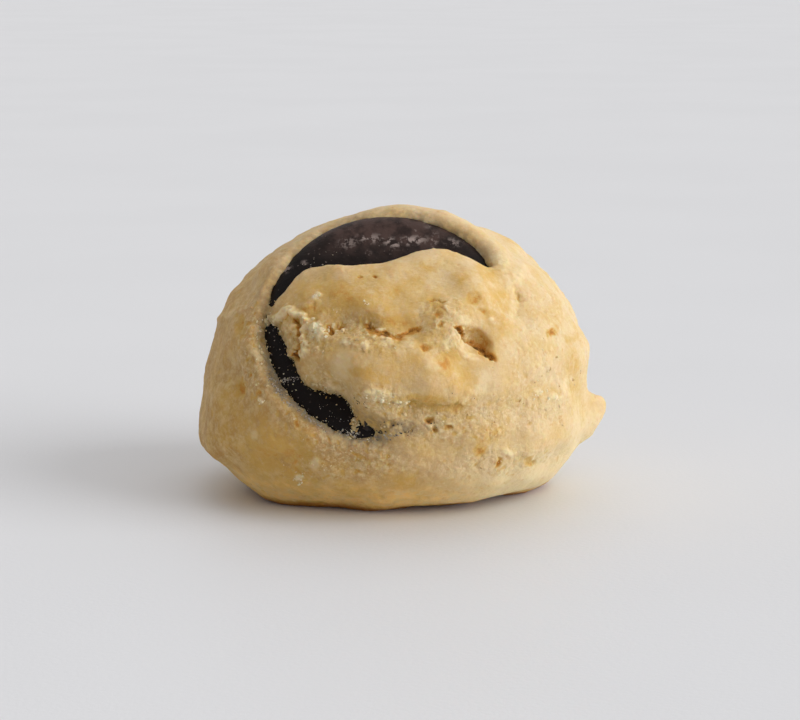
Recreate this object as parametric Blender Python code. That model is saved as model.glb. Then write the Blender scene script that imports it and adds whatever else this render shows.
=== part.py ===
"""A scooped ball of crumbly cookie dough with one round chocolate disc set in its upper front.

Metres, +Z up. The side that shows the chocolate faces -Y, and +X is to the right of it.
The origin is on the flat base, at the middle of the ball's footprint. The sizes and places
below are in millimetres, and "seen from the front" means along +Y, as points (x, z).
"""

import math

import bmesh
import bpy
from mathutils import Matrix, Vector, noise

MM = 0.001
FOOTPRINT_MIDDLE = Vector((-0.12, -0.46, 0.0))  # where the origin lies in the places below

# Dough ball: radii are measured from a centre point above the base
CENTRE = Vector((0.0, 0.0, 13.0))
FRONT_REACH = 19.0
BACK_REACH = 18.0
SQUARENESS = 2.15  # 2 is an ellipsoid, and more is boxier
# Outline seen from the front: angle anticlockwise from +X in degrees, and radius
OUTLINE = (
    (0, 18.3),
    (30, 16.7),
    (48, 15.4),
    (62, 15.05),
    (76, 15.15),
    (90, 15.0),
    (106, 15.2),
    (120, 15.1),
    (150, 17.6),
    (180, 19.6),
    (190, 20.1),
    (200, 21.85),
    (208, 20.8),
    (216, 20.2),
    (240, 17.0),
    (270, 16.0),
    (300, 17.3),
    (330, 19.2),
)

# Relief of the front, seen from the front: middle, half sizes, turn in degrees
# anticlockwise, and height, which is negative for a hollow. A rim of 1 is a soft hill,
# and a smaller one is a lobe with a steeper edge.
SWELLINGS = (
    ((-2.0, 15.2), (8.6, 3.3), -12.0, 0.9, 0.35),  # lower fold of the tongue
    ((2.5, 22.6), (7.5, 3.2), -6.0, 0.5, 0.6),  # upper fold of the tongue
    ((3.0, 24.6), (2.6, 1.6), 0.0, 0.4, 0.8),  # rise in the tongue's top edge
    ((6.6, 17.5), (2.1, 1.0), -42.0, -1.6, 0.6),  # pit beside the folds
    ((10.8, 21.3), (1.2, 3.4), 12.0, -0.6, 0.9),  # groove to the right of the tongue
    ((10.9, 22.6), (1.0, 1.3), 0.0, 0.5, 0.8),  # bump in that groove
    ((13.0, 7.5), (5.5, 2.6), 10.0, 0.5, 0.8),  # low right shoulder
    ((0.0, 4.2), (13.0, 2.4), 0.0, 0.35, 0.9),  # smooth roll above the base
    ((-16.0, 13.0), (1.8, 2.6), 20.0, -0.6, 0.9),  # dent in the left side
)
# Furrows: points, half width and depth
FURROWS = (
    (((-5.6, 19.3), (-3.2, 19.2), (-1.0, 18.8), (1.1, 18.9)), 0.7, 0.8),  # between the folds
    (((1.0, 11.2), (6.0, 10.6), (11.0, 11.3), (15.5, 13.4)), 0.9, 0.5),  # seam at lower right
)
# Where the front's relief fades out towards the sides, as a distance in front of the centre
RELIEF_FADE = 6.0
# Lumps elsewhere: azimuth (0 at -Y, 90 at +X), elevation, half width in degrees and height
LUMPS = (
    (84.0, -13.0, 4.2, 2.35),  # torn nub on the right
    (82.0, -20.0, 5.6, 1.0),  # its lower part
    (84.0, -6.8, 3.0, -2.0),  # nick above the nub
    (82.0, 5.0, 6.0, 0.7),
    (70.0, 24.0, 9.0, 0.5),
    (-84.0, 16.0, 12.0, 0.3),
    (-60.0, -18.0, 14.0, 0.6),
    (125.0, 10.0, 16.0, 0.9),
    (160.0, 30.0, 14.0, 0.8),
    (185.0, -8.0, 18.0, 0.9),
    (215.0, 20.0, 15.0, 0.7),
    (240.0, -12.0, 12.0, 0.8),
    (150.0, -20.0, 10.0, -0.7),
    (200.0, 42.0, 10.0, -0.6),
    (232.0, 8.0, 8.0, -0.6),
    (105.0, -2.0, 7.0, -0.8),
    (-57.0, 54.0, 7.0, 0.6),  # over the upper left of the disc's rim
    (12.0, -55.0, 13.0, -1.2),  # under the front, where the base is cut short
    (50.0, -53.0, 14.0, -1.6),
    (-60.0, -48.0, 9.0, 1.2),  # and where it reaches further out
    (92.0, -42.0, 8.0, 0.5),
)
# Unevenness all over: soft waves and, in torn patches, clumps with creases between them
WAVE_LENGTH, WAVE_HEIGHT = 4.2, 0.6
CLUMP_SIZE, CLUMP_HEIGHT, CLUMP_LEVEL = 2.6, 0.85, 0.25
TORN_SPACING, TORN_FROM, TORN_TO = 9.0, -0.2, 0.2
CALM = 0.7  # share of it that is left out round the top of the disc and near the base
BASE_CALM_LOW, BASE_CALM_HIGH = 2.0, 5.0  # heights between which the base's calm ends

# Chocolate disc: a flat-backed round with a low dome and a rolled edge
DISC_RADIUS = 12.0
DISC_THICKNESS = 3.4
DISC_DOME = 0.5
DISC_EDGE_RADIUS = 1.3
DISC_CENTRE = Vector((-1.4, -11.0, 18.3))  # the middle of its face
DISC_FACES_UP = 34.5  # elevation of the way it faces, in degrees
DISC_TILT = math.radians(90.0 - DISC_FACES_UP)
DISC_PLACE = Matrix.Translation(DISC_CENTRE) @ Matrix.Rotation(DISC_TILT, 4, "X")
FIT_GAP = 0.32  # clear space between the chocolate and the dough round it

# Dough pushed up behind the disc, in the disc's frame
LIP_RISE, LIP_WIDTH = 0.7, 2.4
LIP_LOW, LIP_HIGH = 4.0, 9.0  # where it starts and where it is full
LIP_CALM_REACH = 17.0  # how far from the disc's middle its surface is smooth

# The crescent in which the chocolate shows, in the plane of the disc's face
CRESCENT_FROM, CRESCENT_TO = 27.0, 276.0  # the stretch of the rim that is bare, in degrees
CRESCENT_EASE = 0.7  # its outer wall stands this far off the disc, as softening fills it in
CRESCENT_LEAN = (138.0, 50.0, 0.45)  # where it leans back in: middle, reach in degrees and how far
CRESCENT_FLARE = 0.28  # how far the outer wall leans out for each millimetre of height
CRESCENT_POINT = 16.0  # degrees of the rim over which it narrows to its upper right end
CRESCENT_HEIGHTS = (-0.4, 0.0, 10.0)  # from just under the disc's face to clear of the ball
# Tongue of dough over the rest of the disc: the edge runs from the crescent's upper right
# end round to its lower end
TONGUE_EDGE = (
    (10.6, 5.3),
    (9.6, 5.6),
    (8.5, 6.1),
    (6.1, 7.0),
    (4.0, 7.2),
    (2.2, 6.9),
    (0.4, 6.1),
    (-1.9, 5.5),
    (-5.8, 5.2),
    (-8.0, 4.9),
    (-9.5, 3.9),
    (-10.3, 2.7),
    (-11.0, 0.9),
    (-10.0, -1.2),
    (-9.5, -3.0),
    (-8.7, -4.8),
    (-7.5, -6.1),
    (-5.7, -7.1),
    (-4.0, -7.8),
    (-3.2, -9.7),
    (-1.7, -10.8),
)
TONGUE_HEART = Vector((0.5, -1.0))
TONGUE_TAPER = 0.2  # how far its edge leans in for each millimetre of height
TONGUE_THICKNESS = 2.3  # of the dough over the chocolate at its edge
TONGUE_RISE = 0.34  # how fast it thickens away from its left and top edges
TONGUE_LEFT, TONGUE_TOP = -11.0, 8.0
TONGUE_BLEND = 0.4  # how softly it joins the ball at the disc's rim

# Colours are linear
DOUGH_COLOUR, DOUGH_ROUGHNESS = (0.66, 0.47, 0.23, 1.0), 0.75
CHOCOLATE_COLOUR, CHOCOLATE_ROUGHNESS = (0.022, 0.013, 0.011, 1.0), 0.4

# Fineness of the meshes
BALL_SUBDIVISIONS = 7
VOXEL = 0.5
SMOOTHING_ROUNDS = 3
DOUGH_TRIANGLES = 9400
DISC_STEPS = 64
FACE_RINGS, EDGE_RINGS = 4, 5
CRESCENT_STEPS, TONGUE_STEPS = 60, 4
MERGE = 1e-6


def smoothstep(low, high, value):
    """0 below low, 1 above high and smooth between them."""
    t = min(1.0, max(0.0, (value - low) / (high - low)))
    return t * t * (3.0 - 2.0 * t)


def clear_scene():
    for obj in list(bpy.data.objects):
        bpy.data.objects.remove(obj, do_unlink=True)


def outline_radius(degrees):
    """The front outline's radius at an angle, on a smooth closed curve through its points."""
    count = len(OUTLINE)
    degrees %= 360.0
    index = max(i for i in range(count) if OUTLINE[i][0] <= degrees)
    nodes = []
    for step in (-1, 0, 1, 2):
        turn, place = divmod(index + step, count)
        nodes.append((OUTLINE[place][0] + 360.0 * turn, OUTLINE[place][1]))
    (a0, r0), (a1, r1), (a2, r2), (a3, r3) = nodes
    span = a2 - a1
    slope_1 = (r2 - r0) / (a2 - a0) * span
    slope_2 = (r3 - r1) / (a3 - a1) * span
    t = (degrees - a1) / span
    return (
        r1 * (2 * t**3 - 3 * t**2 + 1)
        + slope_1 * (t**3 - 2 * t**2 + t)
        + r2 * (3 * t**2 - 2 * t**3)
        + slope_2 * (t**3 - t**2)
    )


def ball_radius(way):
    """Distance from CENTRE to the smooth ball in a direction."""
    across = math.hypot(way.x, way.z)
    outline = outline_radius(math.degrees(math.atan2(way.z, way.x)))
    reach = FRONT_REACH if way.y < 0 else BACK_REACH
    total = (across / outline) ** SQUARENESS + (abs(way.y) / reach) ** SQUARENESS
    return total ** (-1.0 / SQUARENESS)


def hill(distance, rim):
    """1 in the middle and 0 at a distance of 1, with a slope as wide as the rim."""
    return 1.0 - smoothstep(1.0 - rim, 1.0, distance)


def distance_to_chain(place, chain):
    """Distance in the plane from a place to a chain of points."""
    nearest = math.inf
    for start, end in zip(chain, chain[1:]):
        start, along = Vector(start), Vector(end) - Vector(start)
        t = min(1.0, max(0.0, (place - start).dot(along) / along.length_squared))
        nearest = min(nearest, (place - start - along * t).length)
    return nearest


def front_relief(point):
    """Height of the folds, pit and furrows that are seen from the front."""
    fade = smoothstep(0.0, RELIEF_FADE, -point.y)
    if fade == 0.0:
        return 0.0
    place = Vector((point.x, point.z))
    height = 0.0
    for middle, half, turn, rise, rim in SWELLINGS:
        offset = Matrix.Rotation(math.radians(-turn), 2) @ (place - Vector(middle))
        height += rise * hill(math.hypot(offset.x / half[0], offset.y / half[1]), rim)
    for chain, width, depth in FURROWS:
        height -= depth * hill(distance_to_chain(place, chain) / (2.0 * width), 1.0)
    return height * fade


def direction(azimuth, elevation):
    a, e = math.radians(azimuth), math.radians(elevation)
    return Vector((math.sin(a) * math.cos(e), -math.cos(a) * math.cos(e), math.sin(e)))


def side_relief(way):
    """Height of the lumps and hollows on the sides and back."""
    height = 0.0
    for azimuth, elevation, width, rise in LUMPS:
        angle = math.degrees(way.angle(direction(azimuth, elevation)))
        height += rise * math.exp(-((angle / width) ** 2))
    return height


def crags(point):
    """Unevenness of the surface, either way."""
    waves = WAVE_HEIGHT * noise.noise(point / WAVE_LENGTH)
    distances, _ = noise.voronoi(point / CLUMP_SIZE)
    clumps = CLUMP_HEIGHT * (CLUMP_LEVEL - distances[0] ** 2)
    clumps *= smoothstep(TORN_FROM, TORN_TO, noise.noise(point / TORN_SPACING))
    place = DISC_PLACE.inverted() @ point
    calm = smoothstep(LIP_LOW, LIP_HIGH, place.y) * hill(place.length / LIP_CALM_REACH, 0.3)
    calm = max(calm, 1.0 - smoothstep(BASE_CALM_LOW, BASE_CALM_HIGH, point.z))
    return (waves + clumps) * (1.0 - CALM * calm)


def lip(point):
    """Height of the dough that stands up behind the top of the disc."""
    place = DISC_PLACE.inverted() @ point
    beyond = math.hypot(place.x, place.y) - DISC_RADIUS
    along = smoothstep(LIP_LOW, LIP_HIGH, place.y)
    return LIP_RISE * along * hill(abs(beyond - LIP_WIDTH / 2) / LIP_WIDTH, 1.0)


def thin_tongue(point):
    """Presses the dough down over the disc to the tongue's thickness."""
    place = DISC_PLACE.inverted() @ point
    low, high = DISC_RADIUS - TONGUE_BLEND, DISC_RADIUS + TONGUE_BLEND
    inside = 1.0 - smoothstep(low, high, math.hypot(place.x, place.y))
    inward = max(0.0, min(place.x - TONGUE_LEFT, TONGUE_TOP - place.y))
    excess = max(0.0, place.z - TONGUE_THICKNESS - TONGUE_RISE * inward)
    place.z -= excess * inside
    return DISC_PLACE @ place


def surface_point(way):
    """The ball's surface in a direction from CENTRE."""
    smooth = thin_tongue(CENTRE + way * ball_radius(way))
    height = front_relief(smooth) + side_relief(way) + lip(smooth) + crags(smooth)
    return smooth + way * height


def new_object(name, bm, root):
    mesh = bpy.data.meshes.new(name)
    bm.to_mesh(mesh)
    bm.free()
    obj = bpy.data.objects.new(name, mesh)
    obj.parent = root
    bpy.context.scene.collection.objects.link(obj)
    return obj


def place_as_disc(obj):
    """Gives the object the disc's own frame: X and Y in its face, Z the way it faces."""
    obj.location = DISC_CENTRE * MM
    obj.rotation_euler.x = DISC_TILT


def as_helper(obj):
    obj.hide_render = True
    obj.display_type = "WIRE"


def make_ball(root):
    bm = bmesh.new()
    bmesh.ops.create_icosphere(bm, subdivisions=BALL_SUBDIVISIONS, radius=1.0)
    for vert in bm.verts:
        vert.co = surface_point(vert.co.normalized()) * MM
    return new_object("dough", bm, root)


def smooth_chain(points, steps):
    """Points on a smooth open curve through the given ones."""
    ends = [points[0], *points, points[-1]]
    chain = []
    for p0, p1, p2, p3 in zip(ends, ends[1:], ends[2:], ends[3:]):
        p0, p1, p2, p3 = Vector(p0), Vector(p1), Vector(p2), Vector(p3)
        linear, square, cube = p2 - p0, 2 * p0 - 5 * p1 + 4 * p2 - p3, 3 * p1 - p0 - 3 * p2 + p3
        for step in range(steps):
            t = step / steps
            chain.append(p1 + 0.5 * (linear * t + square * t**2 + cube * t**3))
    chain.append(Vector(points[-1]))
    return chain


def crescent_ring(height):
    """The crescent's outline at a height above the disc's face."""
    rise = max(height, 0.0)
    ring = []
    for i in range(CRESCENT_STEPS + 1):
        from_end = (CRESCENT_TO - CRESCENT_FROM) * i / CRESCENT_STEPS
        degrees = CRESCENT_FROM + from_end
        middle, reach, lean = CRESCENT_LEAN
        off_disc = CRESCENT_EASE + CRESCENT_FLARE * rise - lean * hill(abs(degrees - middle) / reach, 1.0)
        off_disc *= smoothstep(0.0, CRESCENT_POINT, from_end)
        angle = math.radians(degrees)
        ring.append(Vector((math.cos(angle), math.sin(angle))) * (DISC_RADIUS + off_disc))
    for point in reversed(smooth_chain(TONGUE_EDGE, TONGUE_STEPS)):
        ring.append(point + (TONGUE_HEART - point).normalized() * TONGUE_TAPER * rise)
    return [Vector((p.x, p.y, height)) * MM for p in ring]


def make_crescent_cutter(root):
    bm = bmesh.new()
    rings = [[bm.verts.new(p) for p in crescent_ring(h)] for h in CRESCENT_HEIGHTS]
    for low, high in zip(rings, rings[1:]):
        for i, vert in enumerate(low):
            bm.faces.new((low[i - 1], vert, high[i], high[i - 1]))
    bm.faces.new(rings[0])
    bm.faces.new(rings[-1])
    bmesh.ops.recalc_face_normals(bm, faces=bm.faces)
    cutter = new_object("crescent_cutter", bm, root)
    place_as_disc(cutter)
    as_helper(cutter)
    return cutter


def arc(middle, radius, start, end):
    """Points on an arc round a disc's edge, from one angle to another in degrees."""
    angles = [math.radians(start + (end - start) * i / EDGE_RINGS) for i in range(EDGE_RINGS + 1)]
    return [(middle[0] + radius * math.cos(a), middle[1] + radius * math.sin(a)) for a in angles]


def disc_profile(grow):
    """Half outline of the disc, grown all round: its face, its rolled edge and its back."""
    edge = DISC_EDGE_RADIUS + grow
    inner = DISC_RADIUS - DISC_EDGE_RADIUS
    brink, back = grow - DISC_DOME, -DISC_THICKNESS - grow
    shares = [i / FACE_RINGS for i in range(FACE_RINGS)]
    face = [(inner * share, grow - DISC_DOME * share**2) for share in shares]
    upper = arc((inner, brink - edge), edge, 90.0, 0.0)
    lower = arc((inner, back + edge), edge, 0.0, -90.0)
    return [*face, *upper, *lower, (0.0, back)]


def turned(name, profile, root):
    """A solid turned about its own Z from a profile that starts and ends on the axis."""
    bm = bmesh.new()
    verts = [bm.verts.new((x * MM, 0.0, z * MM)) for x, z in profile]
    edges = [bm.edges.new(pair) for pair in zip(verts, verts[1:])]
    bmesh.ops.spin(
        bm, geom=verts + edges, cent=(0, 0, 0), axis=(0, 0, 1), angle=2 * math.pi, steps=DISC_STEPS
    )
    bmesh.ops.remove_doubles(bm, verts=bm.verts, dist=MERGE)
    bmesh.ops.recalc_face_normals(bm, faces=bm.faces)
    obj = new_object(name, bm, root)
    place_as_disc(obj)
    return obj


def make_disc_pocket(root):
    pocket = turned("disc_pocket", disc_profile(FIT_GAP), root)
    as_helper(pocket)
    return pocket


def cut(obj, cutter):
    modifier = obj.modifiers.new("cut " + cutter.name, "BOOLEAN")
    modifier.operation = "DIFFERENCE"
    modifier.solver = "EXACT"
    modifier.object = cutter


def soften(obj):
    """Rounds the cut edges as soft dough would."""
    remesh = obj.modifiers.new("even skin", "REMESH")
    remesh.mode = "VOXEL"
    remesh.voxel_size = VOXEL * MM
    smooth = obj.modifiers.new("soft edges", "SMOOTH")
    smooth.iterations = SMOOTHING_ROUNDS


def apply_modifiers(obj):
    graph = bpy.context.evaluated_depsgraph_get()
    mesh = bpy.data.meshes.new_from_object(obj.evaluated_get(graph))
    obj.modifiers.clear()
    obj.data = mesh


def thin_out(obj, triangles):
    """Leaves about this many triangles, most of them where the surface bends."""
    fewer = obj.modifiers.new("fewer faces", "DECIMATE")
    fewer.ratio = triangles / sum(len(face.vertices) - 2 for face in obj.data.polygons)
    apply_modifiers(obj)


def flatten_base(obj):
    """Slices off what is below the surface that the ball rests on, and closes the cut."""
    bm = bmesh.new()
    bm.from_mesh(obj.data)
    everything = bm.verts[:] + bm.edges[:] + bm.faces[:]
    sliced = bmesh.ops.bisect_plane(bm, geom=everything, plane_no=(0, 0, -1), clear_outer=True)
    rim = [item for item in sliced["geom_cut"] if isinstance(item, bmesh.types.BMEdge)]
    bmesh.ops.contextual_create(bm, geom=rim)
    bm.to_mesh(obj.data)
    bm.free()


def plain_material(name, colour, roughness):
    material = bpy.data.materials.new(name)
    material.use_nodes = True
    shader = material.node_tree.nodes["Principled BSDF"]
    shader.inputs["Base Color"].default_value = colour
    shader.inputs["Roughness"].default_value = roughness
    shader.inputs["Metallic"].default_value = 0.0
    return material


def finish(obj, material):
    """Shades the object smooth and gives it its one material."""
    obj.data.shade_smooth()
    obj.data.materials.clear()
    obj.data.materials.append(material)


def make_dough(root, crescent, pocket):
    dough = make_ball(root)
    cut(dough, crescent)
    soften(dough)
    apply_modifiers(dough)
    thin_out(dough, DOUGH_TRIANGLES)
    flatten_base(dough)
    finish(dough, plain_material("pale_dough", DOUGH_COLOUR, DOUGH_ROUGHNESS))
    cut(dough, pocket)


def make_disc(root):
    disc = turned("chocolate_disc", disc_profile(0.0), root)
    finish(disc, plain_material("dark_chocolate", CHOCOLATE_COLOUR, CHOCOLATE_ROUGHNESS))


def main():
    clear_scene()
    root = bpy.data.objects.new("dough_ball", None)
    root.location = -FOOTPRINT_MIDDLE * MM
    bpy.context.scene.collection.objects.link(root)
    make_dough(root, make_crescent_cutter(root), make_disc_pocket(root))
    make_disc(root)


main()
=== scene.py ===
"""The looks of a scooped ball of cookie dough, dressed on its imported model.

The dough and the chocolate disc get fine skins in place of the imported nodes, and loose
crumbs lie on them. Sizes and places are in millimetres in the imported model's frame, unless
they are called picture places: those are points (u, v) in the plane through AIM that faces
the camera, u to the right of AIM and v above it, so that the picture is 80 by 72 of them.
"""

import math
import random
from typing import NamedTuple

import bmesh
import bpy
import numpy as np
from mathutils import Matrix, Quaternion, Vector, noise
from mathutils.bvhtree import BVHTree


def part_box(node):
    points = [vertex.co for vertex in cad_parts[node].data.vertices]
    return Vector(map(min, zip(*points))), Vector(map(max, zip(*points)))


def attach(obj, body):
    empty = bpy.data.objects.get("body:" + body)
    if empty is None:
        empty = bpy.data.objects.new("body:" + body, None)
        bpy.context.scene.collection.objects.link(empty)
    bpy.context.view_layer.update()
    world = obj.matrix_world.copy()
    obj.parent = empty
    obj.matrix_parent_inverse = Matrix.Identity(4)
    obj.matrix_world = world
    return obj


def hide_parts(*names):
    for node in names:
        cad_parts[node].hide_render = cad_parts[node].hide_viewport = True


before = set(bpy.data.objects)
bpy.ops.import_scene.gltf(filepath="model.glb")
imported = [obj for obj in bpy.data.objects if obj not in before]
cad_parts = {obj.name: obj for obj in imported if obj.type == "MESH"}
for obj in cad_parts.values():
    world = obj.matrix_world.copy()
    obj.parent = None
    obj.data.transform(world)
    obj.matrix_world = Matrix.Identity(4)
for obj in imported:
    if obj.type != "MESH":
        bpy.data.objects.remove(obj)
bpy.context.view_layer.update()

MM = 0.001

# Camera
AIM = Vector((-0.23, 0.48, 12.83))
CAMERA_ELEVATION = math.radians(10.0)
LENS, SENSOR = 110.0, 36.0
PICTURE_WIDTH = 80.0
DISTANCE = LENS / SENSOR * PICTURE_WIDTH
TO_CAMERA = Vector((0.0, -math.cos(CAMERA_ELEVATION), math.sin(CAMERA_ELEVATION)))
RIGHT = Vector((1.0, 0.0, 0.0))
UP = Vector((0.0, math.sin(CAMERA_ELEVATION), math.cos(CAMERA_ELEVATION)))
EYE = AIM + DISTANCE * TO_CAMERA
CLIP_START = MM

# Skins: size of their faces and how often they are smoothed
MERGE_DISTANCE = 1e-7  # in metres
DOUGH_VOXEL, DOUGH_ROUNDS, FINER_ROUNDS = 0.42, 7, 2
DOUGH_TRIANGLES = 196000
CHOCOLATE_VOXEL, CHOCOLATE_ROUNDS = 0.25, 6
CHOCOLATE_GROWTH = 0.27  # the chocolate fills most of the clear gap round its solid
CHOCOLATE_TILT = math.radians(34.5)
CHOCOLATE_FACES = Vector((0.0, -math.cos(CHOCOLATE_TILT), math.sin(CHOCOLATE_TILT)))
ALONG_CHOCOLATE = Vector((0.0, math.sin(CHOCOLATE_TILT), math.cos(CHOCOLATE_TILT)))
FRONT_FACING = -0.1  # least cosine to the camera for faces that get the finer mesh
# The part of the front that gets a finer mesh still: middle and half sizes in the picture
FINEST = ((2.0, -0.5), (17.5, 10.5))
# Front features fade out round the sides, by the cosine to the camera
FACING = (-0.3, -0.05)
CHOCOLATE_FACING = (0.0, 0.25)
POCKET_REACH, POCKET_ROUNDS = 1.0, 3  # how near the dough that faces the chocolate is to it
# The dough sticks to the chocolate: how far it is drawn to it, by its distance from the solid
GRIP, GRIP_REACH = 0.34, (0.3, 1.1)
# How ragged its edge is there: depth, size, distance from the solid, and share where smooth
RAGGED, RAGGED_SIZE, RAGGED_REACH, RAGGED_SMOOTH = 0.55, 0.6, (0.3, 1.6), 0.2
# Dust on the dough along the rim: distance from the chocolate's middle, distance from its
# solid, and height in the picture
RIM, DUST_REACH, DUST_HEIGHT = (11.2, 11.8), (0.4, 1.5), (-1.0, 3.0)

# Unevenness of the dough: size, height where it is smooth, and where it is torn
WAVES = ((5.0, 0.16, 0.2), (2.0, 0.08, 0.16), (0.9, 0.03, 0.08))
CRUMBLE = ((1.5, 0.05, 0.16), (0.75, 0.025, 0.1), (0.38, 0.012, 0.045))
# Crumbled lumps: how far and how finely their outlines are bent, how wide and how round the
# creases between them are, and how high the lumps are: the middle, how much that varies,
# and how fast
CRUMBLE_WARP, CRUMBLE_WARP_RATE = 0.35, 1.7
CRUMBLE_CREASE, CRUMBLE_ROUND = 0.45, 0.6
CRUMBLE_LIFT, CRUMBLE_VARIES, CRUMBLE_VARIES_RATE = 0.6, 0.9, 3.7
CRUMBLE_MIDDLE = 0.5  # height of the lumps that lies level with the skin
# Painted shade in hollows and painted highlights on tops: rounds of blur, and heights against what is
# around
CAVITY_ROUNDS = 24
HOLLOW_SHADE, HOLLOW_SHADE_TINT = (0.02, 0.12), 1.5
TOP_HIGHLIGHT = (0.01, 0.08)
# Painted contact shade next to the floor, and a painted orange glow above that, up to these heights
CONTACT_SHADE = (0.15, 0.8)
PAINTED_GLOW, PAINTED_GLOW_TINT = (0.4, 1.3), 1.5
LIFTED = 0.01  # the flat underside lies lower than this
FLOOR_BOUNCE = (2.0, 5.0)  # heights between which the painted light of the floor's bounce, just above the floor, ends
# Painted light on the lower right, paler still: between these x, and ending between these heights
# there
LOWER_RIGHT_LIGHT, LOWER_RIGHT_LIGHT_END = (0.0, 12.0), (2.0, 9.5)
# Painted light: the dough is paler on its lit right side and top, by x and this share of the height
# over the middle
LIT_SIDE, LIT_SIDE_HEIGHT, MIDDLE_HEIGHT = (-24.0, 18.0), 0.8, 14.0
LUMPY, LUMPY_SIZE = 0.8, 0.38  # how uneven the ridges and raised spots are
BROKEN, BROKEN_SIZE = 0.7, 0.8  # and the creases
# Small pores: size, from and to where in the noise, depth, and the tint of the painted shade in them
PORE_SIZE, PORE, PORE_DEPTH, PORE_SHADE_TINT = 0.6, (0.22, 0.55), 0.13, 2.5
PORE_SMOOTH = 0.3  # share of them where the dough is smooth
PORE_FEWER = 0.75  # how much less of them there is at the right
# Torn patches on the sides that aren't seen: size, and from and to where in the noise
AROUND_SIZE, AROUND = 8.0, (-0.05, 0.3)
# Seeds of the noise
NOISE_SEED = 1  # sets how the crumbled lumps bend, so that each run is the same
WAVES_SEED, CRUMBLE_SEED, AROUND_SEED = 11.0, 21.0, 3.1
WANDER_SEEDS, FRAY_SEEDS = (5.3, 7.9), (15.3, 17.9)
LUMPY_SEED, BROKEN_SEED, PORE_SEED, RAGGED_SEED = 61.0, 63.0, 71.0, 51.0

# Torn areas: picture place of the middle, half sizes, turn in degrees and strength
TORN = (
    ((-9, 2.6), (3, 2.8), 0, 0.6),  # left end of the tongue
    ((-3.5, 2.6), (5, 2), -12, 1),  # between the folds
    ((4.6, 3.4), (3.4, 3.6), 20, 0.8),  # round the pit
    ((15, 1.5), (5, 7.5), 10, 0.45),  # right side
    ((8, -5.6), (11, 2.6), 7, 0.65),  # seam at lower right
    ((-14.2, 0.8), (2.4, 5.4), 5, 0.6),  # rim to the left of the chocolate
    ((-6, -8), (8, 3.4), -30, 0.6),  # rim below the chocolate
    ((-1, -4.3), (4.6, 1.6), -12, 0.9),  # lower edge of the tongue
    ((-7.2, -2.2), (2.8, 1.3), -38, 0.7),  # its lower left edge
    ((-7.4, 5.3), (2.8, 1.5), 0, 0.6),  # left part of the upper fold
    ((-5, -10.5), (7, 2.4), 0, 0.5),
    ((9.5, -10.2), (6, 2), 8, 0.45),
)
# Smooth areas that the torn ones leave out
SMOOTH = (
    ((-0.6, 7.5), (8.2, 2.5), 6, 1),  # upper fold
    ((0.5, -0.8), (6.5, 1.7), -8, 0.8),  # lower fold
    ((2, -13), (14, 1.8), 2, 1),  # roll above the base
    ((-18, -3), (2.6, 5), 0, 0.6),  # left side
)

# Creases: chain of picture places; then reach to its left and to its right, depth, how far
# the dough on its left leans over it, and the tint of the painted shade in it, from 1,
# golden, to 3, dark brown
CREASES = (
    (
        ((-3.2, 3.4), (-2.4, 2.85), (-1, 2.7), (0, 2.55), (0.8, 2.75), (1.6, 3.2)),
        (0.3, 0.6, 0.24, 0.1, 2.4),
    ),
    (((9.1, 0.2), (7.9, 0.75), (7, 1.3), (6.1, 2.3), (5.6, 3)), (0.14, 0.7, 0.5, 0.1, 2.5)),
    (((-10.5, 4), (-10.2, 2.4), (-10.4, 1.2), (-10.3, 0.1)), (0.3, 0.3, 0.6, 0.05, 1.8)),
    (((-1, -4.2), (2, -4.4), (5.6, -4.4)), (0.4, 0.9, 0.15, 0.15, 1.2)),
    (((3.2, 5.9), (4.4, 5.8)), (0.2, 0.35, 0.2, 0.1, 1.7)),
    (((12, 7), (12.1, 6.2), (11.9, 4.4)), (0.4, 0.7, 0.12, 0.05, 0.4)),
)
# Ridges: chain of picture places; then half width, height and paleness
RIDGES = (
    (
        ((-12.2, 4.1), (-11.6, 4.6), (-11.2, 5.1), (-10.7, 5), (-10.1, 4.5), (-9.5, 4.1)),
        (0.4, 0.3, 0.9),
    ),
    (((-9.7, 4), (-9.8, 2.6), (-9.75, 1.4), (-9.7, 0.4)), (0.45, 0.22, 0.8)),
    # flake
    (((-11.2, 3.5), (-11.5, 2.7), (-11.3, 1.4), (-10.7, 0.7)), (0.5, 0.35, 0.3)),
    # tongue's right
    (((9.6, 10), (10.8, 8.2), (11.3, 6.4), (11.4, 4.2)), (0.5, 0.06, 0.5)),
    # rim of the pit
    (((5.2, 3.2), (5.7, 1.9), (6.6, 0.7), (7.6, 0)), (0.4, 0.08, 0.7)),
)
# Dough that is pushed along the chocolate's face: picture place, half sizes, turn and by how
# much to the right and up
PUSHES = (
    ((-13.2, 4.6), (1, 4.6), -8, (-0.35, 0)),  # rim beside the tongue
    ((-8.8, 9), (2.6, 1), 15, (0, 0.55)),  # top of the tongue at the left
    ((4.5, 11), (2, 0.6), 0, (0, 0.2)),  # its top at the right
    ((-8.4, -2.6), (2.6, 1.3), -38, (-0.5, -0.4)),  # lower left edge of the tongue
    ((9.3, 10), (0.9, 0.9), 0, (-0.35, 0)),  # right end of the lip
    ((20.2, -4.6), (1.6, 1.4), 0, (0.25, 0.6)),  # tip of the nub
    ((19.4, -7), (1.4, 1.6), 0, (0.6, 0)),  # under the nub
)
PUSH_END = (-1.0, 7.0)  # y between which the pushes fade out
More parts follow.
